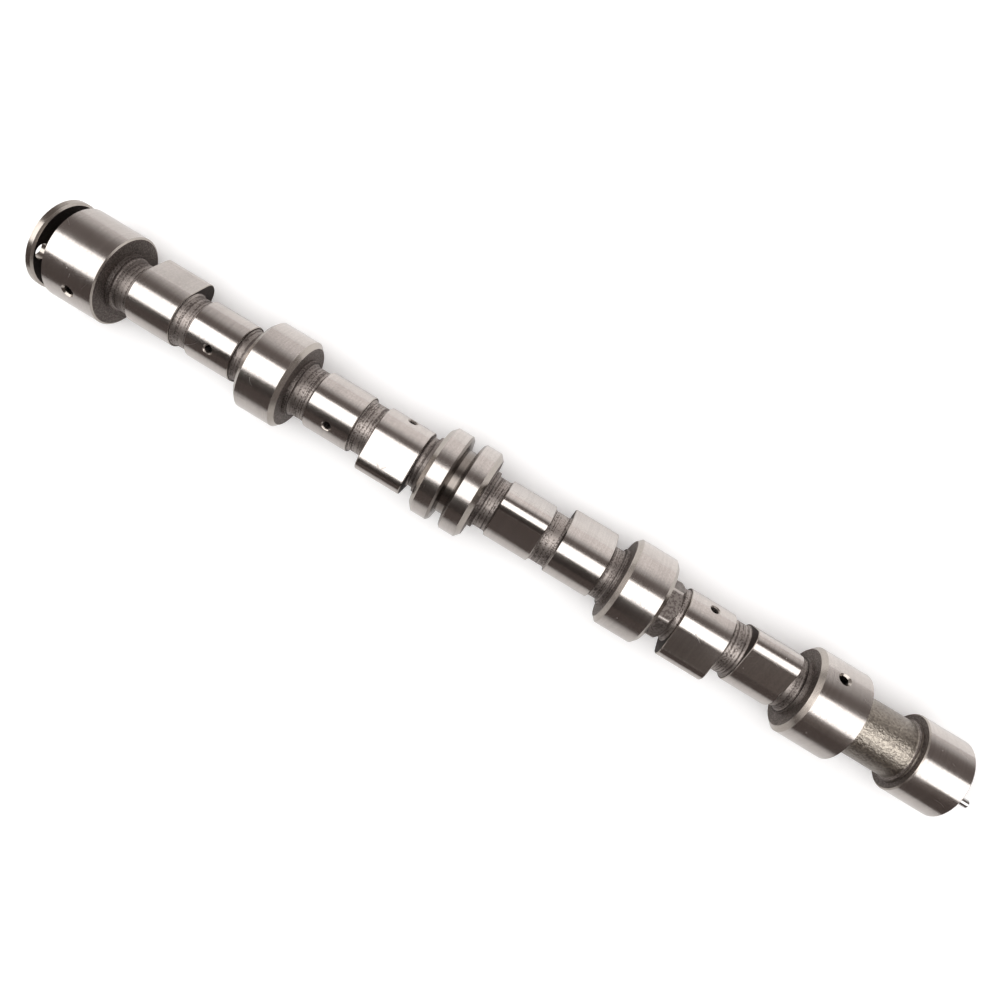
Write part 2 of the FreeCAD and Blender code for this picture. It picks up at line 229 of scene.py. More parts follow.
class CamshaftStage(PropertyGroup):
    """Table, lamp, shades and camera."""

    floor_colour: colour("Floor colour", "Pale table", (0.9, 0.9, 0.9))
    floor_roughness: share("Floor roughness", "Blur of the table", 0.9)
    floor_size: length("Floor size", "Side of the table", 0.64)
    # Painted shade: the table's colour darkens in front of the shaft, standing for the light falling off
    # there.
    floor_dim: pair("Floor dim", "Distances in front of the shaft over which the table dims",
                    0.02, 0.5, "LENGTH")
    floor_dimmest: share("Floor dimmest", "Brightness of the table where it is dimmest", 0.15)
    floor_white: pair("Floor white", "Distances from the axis over which the table turns white",
                      0.027, 0.09, "LENGTH")
    floor_lift: share("Floor lift", "Light added to the table as the camera sees it", 0.23)
    # Painted glow: behind the shaft the table gives off light itself, and no lamp stands under it.
    painted_table_glow: share("Table glow", "Light that comes through the table behind the shaft", 0.22)
    painted_glow_across: pair("Glow across", "Distances behind the shaft over which that light begins",
                      0.02, 0.05, "LENGTH")
    painted_glow_along: pair("Glow along", "Stations over which that light begins", -0.22, -0.1, "LENGTH")
    softbox_power: FloatProperty(name="Softbox power", description="Power of the overhead softbox",
                                 default=27.5, min=0.0, unit="POWER")
    softbox_height: length("Softbox height", "Height of the softbox above the axis", 1.0)
    softbox_length: length("Softbox length", "Side of the softbox along the shaft", 3.6)
    softbox_station: FloatProperty(name="Softbox station", description="Middle of the softbox",
                                   default=-0.5, unit="LENGTH")
    softbox_front: angle("Softbox front", "Lean of the softbox's near edge from straight up", 33.5)
    softbox_back: angle("Softbox back", "Lean of the softbox's far edge from straight up", 18.7)
    shade_station: length("Shade station", "Place of both shades along the shaft", 0.03)
    shade_steps: IntProperty(name="Shade steps", description="Straight steps round a shade", default=48,
                             min=8)
    near_shade_length: length("Near shade length", "Dark shade in front of the camera", 1.0)
    near_shade_width: length("Near shade width", "Its size across the shaft", 0.5)
    near_shade_edge: length("Near shade edge", "Its edge's distance from the line of sight", 0.148)
    near_shade_colour: colour("Near shade colour", "Dark cloth", (0.13, 0.115, 0.105))
    # Painted light: the near shade is paler at its drive end, standing for more light falling on the cloth
    # there.
    near_shade_lit_colour: colour("Near shade worn colour", "Paler cloth at its drive end", (0.39, 0.35, 0.325))
    far_shade_length: length("Far shade length", "Grey shade behind the camera", 0.64)
    far_shade_width: length("Far shade width", "Its size across the shaft", 0.04)
    far_shade_edge: length("Far shade edge", "Its edge's distance from the line of sight", 0.084)
    far_shade_colour: colour("Far shade colour", "Grey cloth", (0.29, 0.26, 0.24))
    # Painted light on the near shade: where its cloth turns paler.
    lit_along: pair("Worn along", "Stations over which the cloth turns paler", 0.1, 0.3, "LENGTH")
    lit_across: pair("Worn across", "Places across the shaft over which it turns paler",
                      -0.64, -0.48, "LENGTH")
    camera_station: length("Camera station", "Camera's place along the shaft", 0.0021)
    camera_height: length("Camera height", "Camera's height above the axis", 0.3297)
    camera_pitch: angle("Camera pitch", "Turn of the camera about X", 0.53)
    camera_yaw: angle("Camera yaw", "Turn of the camera about Y", 1.056)
    camera_roll: angle("Camera roll", "Turn of the picture", 31.203)
    lens: FloatProperty(name="Lens", description="Focal length", default=28.61, min=1.0, unit="CAMERA")


class CamshaftRoom(PropertyGroup):
    """Studio room that the metal reflects, by direction: X along the shaft, Y behind it, Z up."""

    wall_rise: pair("Wall rise", "Slopes over which the pale wall behind ends", 1.5, 0.3)
    wall_side: pair("Wall side", "Its ends to both sides", 0.75, 0.2)
    wall_light: share("Wall light", "Its brightness", 0.9)
    skirt_rise: pair("Skirt rise", "Slopes over which the low wide wall behind ends", 0.55, -0.1)
    skirt_side: pair("Skirt side", "Its ends to both sides", 1.6, 0.8)
    skirt_light: share("Skirt light", "Its brightness", 0.6)
    front_turn: pair("Front turn", "Y over which the dim front changes", -0.75, 0.1)
    front_light: pair("Front light", "Its brightness at both", 0.105, 0.16)
    end_turn: pair("End turn", "X over which both ends of the room turn paler", 0.6, 0.95)
    end_light: share("End light", "Their brightness", 0.15)
    card_turn: pair("Card turn", "X over which the white card beyond the rear end begins", -0.7, -0.95)
    card_rise: pair("Card rise", "Z over which it begins", 0.0, 0.14)
    card_light: share("Card light", "Its brightness", 0.9)
    least_depth: share("Least depth", "Y below which a direction counts as sideways", 0.01)
    tint_light: pair("Tint light", "Brightness over which the tint changes", 0.05, 0.4)
    dim_tint: colour("Dim tint", "Warm tint of dim places", (1.0, 0.79, 0.72))
    bright_tint: colour("Bright tint", "Tint of pale places", (1.0, 0.955, 0.94))


class CamshaftSettings(PropertyGroup):
    """All settings of the camshaft."""

    layout: PointerProperty(type=CamshaftLayout)
    metal: PointerProperty(type=CamshaftMetal)
    wear: PointerProperty(type=CamshaftWear)
    thread: PointerProperty(type=CamshaftThread)
    stage: PointerProperty(type=CamshaftStage)
    room: PointerProperty(type=CamshaftRoom)


def join(tree, value, socket):
    """Links the socket to another one, or sets its value."""
    if isinstance(value, bpy.types.NodeSocket):
        tree.links.new(value, socket)
    elif socket.type == "RGBA" and len(value) == 3:
        socket.default_value = (*value, 1.0)
    else:
        socket.default_value = value


def add(tree, kind, inputs=None, **settings):
    """New node with its settings, its sockets linked or set."""
    node = tree.nodes.new(kind)
    for name, value in settings.items():
        setattr(node, name, value)
    for name, value in (inputs or {}).items():
        join(tree, value, node.inputs[name])
    return node


def calc(tree, operation, *values):
    """Result of a Math node."""
    node = add(tree, "ShaderNodeMath", operation=operation)
    for socket, value in zip(node.inputs, values):
        join(tree, value, socket)
    return node.outputs[0]


def chain(tree, operation, result, *others):
    """Result of the same Math operation with each of the other values in turn."""
    for other in others:
        result = calc(tree, operation, result, other)
    return result


def within(tree, value, low, high):
    """1 where the value lies between low and high, and 0 elsewhere."""
    return calc(tree, "COMPARE", value, (low + high) / 2, (high - low) / 2)


def fade(tree, value, start, end, low=0.0, high=1.0, smooth=True):
    """Value turned from the range start to end into the range low to high."""
    node = add(tree, "ShaderNodeMapRange", interpolation_type="SMOOTHSTEP" if smooth else "LINEAR")
    for name, given in (("Value", value), ("From Min", start), ("From Max", end),
                        ("To Min", low), ("To Max", high)):
        join(tree, given, node.inputs[name])
    return node.outputs["Result"]


def mix(tree, factor, low, high, kind="FLOAT"):
    """Number, vector or colour between low and high."""
    node = add(tree, "ShaderNodeMix", data_type=kind, clamp_factor=True)
    places, output = MIX_SOCKETS[kind]
    for place, value in zip(places, (factor, low, high)):
        join(tree, value, node.inputs[place])
    return node.outputs[output]


def mix_colour(tree, factor, low, high):
    """Colour between low and high."""
    return mix(tree, factor, low, high, "RGBA")


def darken(tree, tone, crust_colour, *marks):
    """Colour with crust in each mark, which is a mask and its strength."""
    for mask, strength in marks:
        tone = mix_colour(tree, calc(tree, "MULTIPLY", mask, strength), tone, crust_colour)
    return tone


def parts(tree, vector):
    """X, Y and Z of a vector."""
    return add(tree, "ShaderNodeSeparateXYZ", {"Vector": vector}).outputs


def scale(tree, vector, factors):
    """Vector times three factors."""
    node = add(tree, "ShaderNodeVectorMath", operation="MULTIPLY")
    join(tree, vector, node.inputs[0])
    join(tree, factors, node.inputs[1])
    return node.outputs[0]


def noise(tree, vector, size, detail=2.0, roughness=0.5, distortion=0.0):
    """Noise with features of the given size."""
    return add(tree, "ShaderNodeTexNoise", {"Vector": vector, "Scale": size, "Detail": detail,
                                            "Roughness": roughness, "Distortion": distortion}).outputs[0]


def shader_group(name, inputs, outputs):
    """Empty node group with named sockets, and its input and output nodes."""
    group = bpy.data.node_groups.new(name, "ShaderNodeTree")
    for socket_name, kind, default in inputs:
        socket = group.interface.new_socket(socket_name, in_out="INPUT", socket_type=kind)
        socket.default_value = default
    for socket_name, kind in outputs:
        group.interface.new_socket(socket_name, in_out="OUTPUT", socket_type=kind)
    return group, group.nodes.new("NodeGroupInput"), group.nodes.new("NodeGroupOutput")


def place_group(tree, name, inputs=None):
    """Puts a finished group into a material and returns its outputs."""
    node = add(tree, "ShaderNodeGroup", node_tree=bpy.data.node_groups[name])
    for socket_name, value in (inputs or {}).items():
        join(tree, value, node.inputs[socket_name])
    return node.outputs


def build_shaft_position():
    """Station, radius, direction round the axis, lean along the shaft and facing away from the axis."""
    tree, _, result = shader_group("Shaft position", [], [
        ("Station", "NodeSocketFloat"), ("Radius", "NodeSocketFloat"),
        ("Round", "NodeSocketVector"), ("Lean", "NodeSocketFloat"), ("Facing", "NodeSocketFloat")])
    place = add(tree, "ShaderNodeTexCoord").outputs["Object"]
    part = parts(tree, place)
    height = calc(tree, "SUBTRACT", part["Z"], AXIS_HEIGHT)
    across = add(tree, "ShaderNodeCombineXYZ", {"Y": part["Y"], "Z": height}).outputs[0]
    radius = add(tree, "ShaderNodeVectorMath", {0: across}, operation="LENGTH").outputs["Value"]
    out = add(tree, "ShaderNodeVectorMath", {0: across}, operation="NORMALIZE").outputs["Vector"]
    normal = add(tree, "ShaderNodeNewGeometry").outputs["True Normal"]
    lean = calc(tree, "ABSOLUTE", parts(tree, normal)["X"])
    facing = add(tree, "ShaderNodeVectorMath", {0: normal, 1: out}, operation="DOT_PRODUCT")
    for name, value in (("Station", part["X"]), ("Radius", radius), ("Round", out), ("Lean", lean),
                        ("Facing", facing.outputs["Value"])):
        join(tree, value, result.inputs[name])


def build_tool_marks():
    """Fine uneven rings round the axis, as a wheel or a turning tool leaves them."""
    side_lean = (0.5, 0.9)
    tree, given, result = shader_group("Tool marks", [
        ("Pitch", "NodeSocketFloat", 0.0005), ("Depth", "NodeSocketFloat", 0.00001),
        ("Wander", "NodeSocketFloat", 1.0)],
        [("Height", "NodeSocketFloat"), ("Mask", "NodeSocketFloat")])
    position = place_group(tree, "Shaft position")
    along = calc(tree, "DIVIDE", position["Station"], given.outputs["Pitch"])
    inward = calc(tree, "DIVIDE", position["Radius"], given.outputs["Pitch"])
    line = mix(tree, fade(tree, position["Lean"], *side_lean), along, inward)
    turn = add(tree, "ShaderNodeVectorMath", {0: position["Round"], "Scale": given.outputs["Wander"]},
               operation="SCALE").outputs["Vector"]
    spread = add(tree, "ShaderNodeCombineXYZ", {"X": line}).outputs[0]
    where = add(tree, "ShaderNodeVectorMath", {0: turn, 1: spread}, operation="ADD").outputs["Vector"]
    rings = noise(tree, where, 1.0, detail=3.0, roughness=0.65)
    mask = fade(tree, rings, 0.3, 0.7)
    join(tree, calc(tree, "MULTIPLY", mask, given.outputs["Depth"]), result.inputs["Height"])
    join(tree, mask, result.inputs["Mask"])


def build_cast_grain():
    """Grainy skin that a sand mould leaves, with its low and high parts."""
    coarse_density = 0.7
    fine_part = 0.7
    cell_depth = 0.35
    skin_heights = (0.16, 0.5)
    tree, given, result = shader_group("Cast grain", [
        ("Size", "NodeSocketFloat", 0.0009), ("Depth", "NodeSocketFloat", 0.0001)],
        [("Height", "NodeSocketFloat"), ("Skin", "NodeSocketFloat")])
    place = add(tree, "ShaderNodeTexCoord").outputs["Object"]
    density = calc(tree, "DIVIDE", 1.0, given.outputs["Size"])
    coarse = noise(tree, place, calc(tree, "MULTIPLY", density, coarse_density), detail=3.0)
    fine = noise(tree, place, density, detail=3.0, roughness=0.7)
    cells = add(tree, "ShaderNodeTexVoronoi", {"Vector": place, "Scale": density, "Randomness": 1.0},
                feature="SMOOTH_F1").outputs["Distance"]
    body = mix(tree, fine_part, coarse, fine)
    height = calc(tree, "SUBTRACT", body, calc(tree, "MULTIPLY", cells, cell_depth))
    join(tree, calc(tree, "MULTIPLY", height, given.outputs["Depth"]), result.inputs["Height"])
    join(tree, fade(tree, height, *skin_heights), result.inputs["Skin"])


def find_smears(tree, place, density):
    """Broad faint smears, drawn out along the shaft."""
    drawn_out = scale(tree, place, (0.6, 1.0, 1.0))
    smears = noise(tree, drawn_out, density, detail=5.0, roughness=0.6, distortion=0.6)
    return fade(tree, smears, 0.35, 0.65)


def find_specks(tree, place, density):
    """Few small round specks: one cell of the pattern in about sixteen has one."""
    specks_per_smear = 9.0
    chosen_cells = (0.93, 0.95)
    speck_edge = (0.14, 0.06)
    cells = add(tree, "ShaderNodeTexVoronoi", {
        "Vector": place, "Scale": calc(tree, "MULTIPLY", density, specks_per_smear)}, feature="F1")
    draw = add(tree, "ShaderNodeSeparateColor", {"Color": cells.outputs["Color"]}).outputs[0]
    near = fade(tree, cells.outputs["Distance"], *speck_edge)
    return calc(tree, "MULTIPLY", fade(tree, draw, *chosen_cells), near)


def find_scratches(tree, place, density):
    """Short hair scratches: thin level lines of a noise, kept in a few patches."""
    hair_width = 0.003
    patch_edge = (0.55, 0.6)
    paths = noise(tree, place, calc(tree, "MULTIPLY", density, 0.9), detail=0.0)
    hair = fade(tree, calc(tree, "ABSOLUTE", calc(tree, "SUBTRACT", paths, 0.5)), hair_width, 0.0)
    patches = noise(tree, place, calc(tree, "MULTIPLY", density, 3.1), detail=1.0)
    return calc(tree, "MULTIPLY", hair, fade(tree, patches, *patch_edge))


def build_handling():
    """Smears, specks and scratches that handling leaves."""
    effects = {"Smears": find_smears, "Specks": find_specks, "Scratches": find_scratches}
    tree, given, result = shader_group("Handling", [("Size", "NodeSocketFloat", 0.02)],
                                       [(name, "NodeSocketFloat") for name in effects])
    place = add(tree, "ShaderNodeTexCoord").outputs["Object"]
    density = calc(tree, "DIVIDE", 1.0, given.outputs["Size"])
    for name, find in effects.items():
        join(tree, find(tree, place, density), result.inputs[name])


def build_groups():
    """Effects that the materials share."""
    if "Shaft position" in bpy.data.node_groups:
        return
    build_shaft_position()
    build_tool_marks()
    build_cast_grain()
    build_handling()


def new_material(name):
    """Material with an empty tree, its output node and its Principled shader."""
    material = bpy.data.materials.new(name)
    material.use_nodes = True
    tree = material.node_tree
    tree.nodes.clear()
    surface = add(tree, "ShaderNodeBsdfPrincipled")
    add(tree, "ShaderNodeOutputMaterial", {"Surface": surface.outputs[0]})
    return material, tree, surface


def give_material(node_name, material):
    """Puts the material in every slot of a CAD node."""
    for slot in frame["nodes"][node_name].material_slots:
        slot.material = material


def place_object(name, data):
    """New object in the scene."""
    placed = bpy.data.objects.new(name, data)
    bpy.context.scene.collection.objects.link(placed)
    return placed


def place_mesh(name, points, faces, material):
    """New object of faces in the scene, with its material."""
    mesh = bpy.data.meshes.new(name)
    mesh.from_pydata(points, [], faces)
    mesh.validate()
    mesh.materials.append(material)
    return place_object(name, mesh)


def mount_span(name):
    """Start and end of a mount's cylinder along the shaft."""
    middle = mounts[name]["pos_m"][0]
    half = mounts[name]["dims"]["length_mm"] * MILLIMETRE / 2
    return middle - half, middle + half


def journal_spans():
    """Start and end of each ground journal wall."""
    return [mount_span(name) for name in mounts if "journal" in name]


def lobe_spans(layout):
    """Start and end of each lobe."""
    spans = []
    middle = MIDDLE_STATION + layout.cylinder_offset
    inner = layout.inner_cylinder_pitch / 2
    outer = inner + layout.outer_cylinder_pitch
    for cylinder in (-outer, -inner, inner, outer):
        for side in (-1, 1):
            station = middle + cylinder + side * layout.lobe_spacing / 2
            spans.append((station - layout.lobe_width / 2, station + layout.lobe_width / 2))
    return spans


def span_mask(tree, station, spans):
    """1 inside the spans of the shaft and 0 outside."""
    return chain(tree, "MAXIMUM", 0.0, *(within(tree, station, start, end) for start, end in spans))


def beside_journals(tree, station):
    """Distance along the shaft from the nearest journal wall."""
    distances = []
    for start, end in journal_spans():
        away = calc(tree, "ABSOLUTE", calc(tree, "SUBTRACT", station, (start + end) / 2))
        distances.append(calc(tree, "SUBTRACT", away, (end - start) / 2))
    return chain(tree, "MINIMUM", *distances)


def find_surfaces(tree, position, layout):
    """Masks that tell the casting's surfaces apart."""
    station = position["Station"]
    radius = position["Radius"]
    lean = position["Lean"]
    straight = calc(tree, "LESS_THAN", lean, SLANT_LEAN)
    side = calc(tree, "GREATER_THAN", lean, SIDE_LEAN)

    wall = calc(tree, "MULTIPLY", span_mask(tree, station, journal_spans() + lobe_spans(layout)),
                calc(tree, "GREATER_THAN", radius, layout.neck_radius))
    ground = calc(tree, "MULTIPLY", wall, calc(tree, "GREATER_THAN", position["Facing"], GROUND_FACING))
    hole = calc(tree, "MULTIPLY", wall, calc(tree, "SUBTRACT", straight, ground))

    mouth = calc(tree, "MULTIPLY", wall, within(tree, position["Facing"], *MOUTH_FACING))
    bevel = chain(tree, "MULTIPLY", calc(tree, "GREATER_THAN", lean, SLANT_LEAN),
                  calc(tree, "LESS_THAN", lean, SIDE_LEAN),
                  calc(tree, "GREATER_THAN", radius, layout.bevel_radius))
    rear_rim = calc(tree, "LESS_THAN", station, REAR_END + layout.rim_width)
    drive_rim = calc(tree, "GREATER_THAN", station, DRIVE_END - layout.ring_width)
    groove_start = mount_span("journal_3_rear_ring")[1]
    groove_end = mount_span("journal_3_drive_ring")[0]
    groove = within(tree, station, groove_start, groove_end)
    turned = chain(tree, "MAXIMUM", bevel, rear_rim, drive_rim, groove, mouth)
    turned = calc(tree, "MULTIPLY", turned, calc(tree, "SUBTRACT", 1.0, ground))

    neck_start = mount_span("journal_5")[1]
    neck_end = mount_span("seal_journal")[0] - layout.ring_width
    long_neck = calc(tree, "MULTIPLY", within(tree, station, neck_start, neck_end), straight)
    hexagon_start = mounts["wrench_hexagon"]["pos_m"][0] - layout.hexagon_length / 2
    hexagon = within(tree, station, hexagon_start, hexagon_start + layout.hexagon_length)
    corner = calc(tree, "MULTIPLY", hexagon, fade(tree, radius, *layout.hexagon_corner))
    return SimpleNamespace(ground=ground, turned=turned, groove=groove, hole=hole, side=side,
                           long_neck=long_neck, hexagon=hexagon, corner=corner,
                           beside=beside_journals(tree, station))


def place_effects(tree, metal, wear):
    """Marks and grain of the casting."""
    return SimpleNamespace(
        grinding=place_group(tree, "Tool marks", {
            "Pitch": metal.grinding_pitch, "Depth": metal.grinding_depth, "Wander": wear.grinding_wander}),
        turning=place_group(tree, "Tool marks", {
            "Pitch": metal.turning_pitch, "Depth": metal.turning_depth, "Wander": wear.turning_wander}),
        grain=place_group(tree, "Cast grain", {"Size": metal.grain_size, "Depth": metal.grain_depth}),
        rough_grain=place_group(tree, "Cast grain", {
            "Size": metal.rough_grain_size, "Depth": metal.rough_grain_depth}),
        handling=place_group(tree, "Handling"))


def find_bare_iron_and_shade(tree, position, surfaces, effects, layout, wear):
    """How far each place of the cast skin is free of scale, from 0 to 1, with painted shade on necks beside
    journals and on the long neck's flanks.
    """
    station = position["Station"]
    from_palest = calc(tree, "ABSOLUTE", calc(tree, "SUBTRACT", station, layout.palest_neck_station))
    marks = mix(tree, wear.grain_part, effects.turning["Mask"], effects.grain["Skin"])
    neck = chain(tree, "MULTIPLY", fade(tree, marks, *wear.neck_window),
                 # Necks turn darker with distance from the palest station.
                 fade(tree, from_palest, *layout.neck_darkening_reach, 1.0, wear.far_neck_share),
                 # Painted shade on the necks beside the journals.
                 fade(tree, surfaces.beside, *layout.neck_shade_reach, wear.shaded_neck_bare, 1.0))
    # Side faces paler towards the drive end.
    side = calc(tree, "ADD", fade(tree, effects.grain["Skin"], *wear.side_window, 0.0, wear.side_bare),
                fade(tree, station, *layout.paler_sides, 0.0, wear.paler_side_share))
    upward = parts(tree, position["Round"])["Z"]
    rough_skin = effects.rough_grain["Skin"]
    # Painted shade: the long neck's flanks are darker than its top.
    long_neck = calc(tree, "MULTIPLY", fade(tree, rough_skin, 0.0, 1.0, wear.low_bare, 1.0),
                     fade(tree, upward, *wear.flank_shade_window, wear.shaded_flank_bare, 1.0))
    hexagon = fade(tree, rough_skin, *wear.hexagon_window, *wear.hexagon_bare)
    bare = mix(tree, surfaces.side, neck, side)
    bare = mix(tree, surfaces.long_neck, bare, long_neck)
    return mix(tree, surfaces.hexagon, bare, hexagon)


def casting_tone(tree, surfaces, effects, bare, layout, metal, wear):
    """Colour of the casting."""
    black = fade(tree, surfaces.beside, *layout.black_sides, 0.0, wear.black_share)
    # Black in the holes is painted shade; on the lobes' side faces it is scale and painted shade.
    scale_and_shade = calc(tree, "MAXIMUM", calc(tree, "MULTIPLY", surfaces.side, black), surfaces.hole)
    cast = mix_colour(tree, surfaces.long_neck, metal.cast_colour, metal.long_neck_colour)
    # The bare share also carries painted shade on necks beside journals and on the long neck's flanks.
    cast = mix_colour(tree, bare, metal.crust_colour, cast)
    cast = mix_colour(tree, scale_and_shade, cast, metal.scale_and_shade_colour)
    # Hexagon corners: worn bare edges, which also stand as a painted highlight.
    cast = mix_colour(tree, surfaces.corner, cast, metal.ground_colour)
    ground = darken(tree, metal.ground_colour, metal.crust_colour,
                    (effects.handling["Smears"], wear.smear_tone),
                    (effects.grinding["Mask"], wear.grinding_tone),
                    (effects.grain["Skin"], wear.grain_tone),
                    (effects.handling["Scratches"], wear.scratch_tone))
    turned = darken(tree, metal.turned_colour, metal.crust_colour,
                    (effects.turning["Mask"], wear.turning_tone),
                    (surfaces.groove, wear.groove_tone))
    tone = mix_colour(tree, surfaces.turned, cast, turned)
    return mix_colour(tree, surfaces.ground, tone, ground)


def casting_blur(tree, surfaces, effects, bare, metal, wear):
    """Roughness of the casting."""
    handling = effects.handling
    cast = fade(tree, bare, 0.0, 1.0, metal.cast_roughness + wear.scale_blur, metal.cast_roughness)
    cast = mix(tree, surfaces.long_neck, cast, metal.long_neck_roughness)
    ground = fade(tree, handling["Smears"], 0.0, 1.0, metal.ground_roughness,
                  metal.ground_roughness + wear.smear_blur)
    duller = fade(tree, effects.grain["Skin"], *wear.grain_window, 0.0, wear.grain_blur)
    ground = calc(tree, "ADD", ground, duller)
    ground = mix(tree, handling["Scratches"], ground, wear.scratch_roughness)
    ground = mix(tree, handling["Specks"], ground, wear.speck_roughness)
    blur = mix(tree, surfaces.turned, cast, metal.turned_roughness)
    return mix(tree, surfaces.ground, blur, ground)


def casting_height(tree, surfaces, effects, wear):
    """Height of the casting's marks and grain, in metres."""
    rings = effects.turning["Height"]
    rough = effects.rough_grain["Height"]
    height = calc(tree, "MULTIPLY", rings, mix(tree, surfaces.side, 1.0, wear.side_relief))
    height = calc(tree, "ADD", height, effects.grain["Height"])
    height = mix(tree, surfaces.long_neck, height, rough)
    height = mix(tree, surfaces.hexagon, height, calc(tree, "MULTIPLY", rough, wear.hexagon_relief))
    height = mix(tree, surfaces.turned, height, calc(tree, "MULTIPLY", rings, wear.turned_relief))
    return mix(tree, surfaces.ground, height, effects.grinding["Height"])


def true_normal(tree, position, surfaces, layout):
    """Smooth normal, and the exact round one on ground walls that are round about the axis."""
    journal = span_mask(tree, position["Station"], journal_spans())
    base_circle = within(tree, position["Radius"],
                         layout.base_radius - layout.chord_sag - layout.facet_slack,
                         layout.base_radius + layout.facet_slack)
    coaxial = calc(tree, "MULTIPLY", surfaces.ground, calc(tree, "MAXIMUM", journal, base_circle))
    smooth = add(tree, "ShaderNodeNewGeometry").outputs["Normal"]
    return mix(tree, coaxial, smooth, position["Round"], "VECTOR")


def finish_metal(tree, surface, tone, blur, height, normal=None):
    """Puts colour, roughness and relief into a metal's shader."""
    inputs = {"Strength": 1.0, "Distance": 1.0, "Height": height}
    if normal:
        inputs["Normal"] = normal
    relief = add(tree, "ShaderNodeBump", inputs)
    join(tree, tone, surface.inputs["Base Color"])
    join(tree, blur, surface.inputs["Roughness"])
    join(tree, relief.outputs["Normal"], surface.inputs["Normal"])
    surface.inputs["Metallic"].default_value = 1.0


def casting_material(layout, metal, wear):
    """Iron: ground journals and lobes, turned bevels and end faces, cast necks and side faces."""
    material, tree, surface = new_material("Camshaft iron")
    position = place_group(tree, "Shaft position")
    surfaces = find_surfaces(tree, position, layout)
    effects = place_effects(tree, metal, wear)
    bare = find_bare_iron_and_shade(tree, position, surfaces, effects, layout, wear)
    finish_metal(tree, surface, casting_tone(tree, surfaces, effects, bare, layout, metal, wear),
                 casting_blur(tree, surfaces, effects, bare, metal, wear),
                 casting_height(tree, surfaces, effects, wear),
                 true_normal(tree, position, surfaces, layout))
    return material


def steel_material(settings, name, base, roughness, pitch):
    """Ground, pressed or cut metal of a small piece, with faint rings and smears."""
    metal, wear = settings.metal, settings.wear
    material, tree, surface = new_material(name)
    marks = place_group(tree, "Tool marks", {"Pitch": pitch, "Depth": metal.grinding_depth,
                                             "Wander": wear.steel_wander})
    handling = place_group(tree, "Handling", {"Size": metal.steel_smear_size})
    tone = darken(tree, base, metal.crust_colour, (marks["Mask"], wear.steel_tone))
    blur = fade(tree, handling["Smears"], 0.0, 1.0, roughness, roughness + wear.steel_blur)
    finish_metal(tree, surface, tone, blur, marks["Height"])
    return material


def thread_ridge(thread, material):
    """Helical ridge of the bolt thread, standing inwards from the wall of the bolt hole."""
    hole = mounts["bolt_hole"]["dims"]
    root = hole["r_mm"] * MILLIMETRE
    crest = root - thread.depth
    flat = thread.crest / 2
    run = hole["length_mm"] * MILLIMETRE - thread.run_out
    count = int(run / thread.pitch * thread.steps)
    profile = ((root, -0.5), (crest, -flat), (crest, flat), (root, 0.5))
    first_turn = DRIVE_END - thread.lead_in - thread.pitch / 2
    points = []
    for i in range(count + 1):
        turn = 2 * math.pi * i / thread.steps
        along = first_turn - thread.pitch * i / thread.steps
        for radius, shift in profile:
            points.append((along + shift * thread.pitch, radius * math.sin(turn),
                           AXIS_HEIGHT + radius * math.cos(turn)))
    sides = len(profile)
    faces = []
    for i in range(count):
        for k in range(sides):
            a = i * sides + k
            b = i * sides + (k + 1) % sides
            faces.append((a, b, b + sides, a + sides))
    faces.append((0, *reversed(range(1, sides))))
    faces.append(tuple(range(count * sides, (count + 1) * sides)))
    return place_mesh("bolt_thread", points, faces, material)


def floor_material(stage):
    """Pale table that keeps its shadow near the shaft and is plain white far from it, with painted shade in
    front of the shaft and a painted glow behind it.
    """
    material, tree, surface = new_material("Table")
    place = add(tree, "ShaderNodeTexCoord").outputs["Object"]
    along, across, _ = parts(tree, place)
    in_front = calc(tree, "MULTIPLY", across, -1.0)
    # Painted shade: the table darkens in front of the shaft.
    painted_falloff = fade(tree, in_front, *stage.floor_dim, smooth=False)
    falloff_shade_colour = [channel * stage.floor_dimmest for channel in stage.floor_colour]
    join(tree, mix_colour(tree, painted_falloff, stage.floor_colour, falloff_shade_colour), surface.inputs["Base Color"])
    surface.inputs["Roughness"].default_value = stage.floor_roughness
    surface.inputs["Specular IOR Level"].default_value = 0.0
    beside = calc(tree, "ABSOLUTE", across)
    beyond = calc(tree, "SUBTRACT", calc(tree, "ABSOLUTE", along), DRIVE_END)
    lift = fade(tree, calc(tree, "MAXIMUM", beside, beyond), *stage.floor_white, stage.floor_lift, 1.0)
    # Painted glow of the table behind the shaft, seen by every ray but the camera's.
    through = chain(tree, "MULTIPLY", fade(tree, across, *stage.painted_glow_across),
                    fade(tree, along, *stage.painted_glow_along), stage.painted_table_glow)
    seen = add(tree, "ShaderNodeLightPath").outputs["Is Camera Ray"]
    glow = add(tree, "ShaderNodeEmission", {"Strength": mix(tree, seen, through, lift)})
    lit = add(tree, "ShaderNodeAddShader", {0: surface.outputs[0], 1: glow.outputs[0]})
    output = next(node for node in tree.nodes if node.type == "OUTPUT_MATERIAL")
    join(tree, lit.outputs[0], output.inputs["Surface"])
    return material


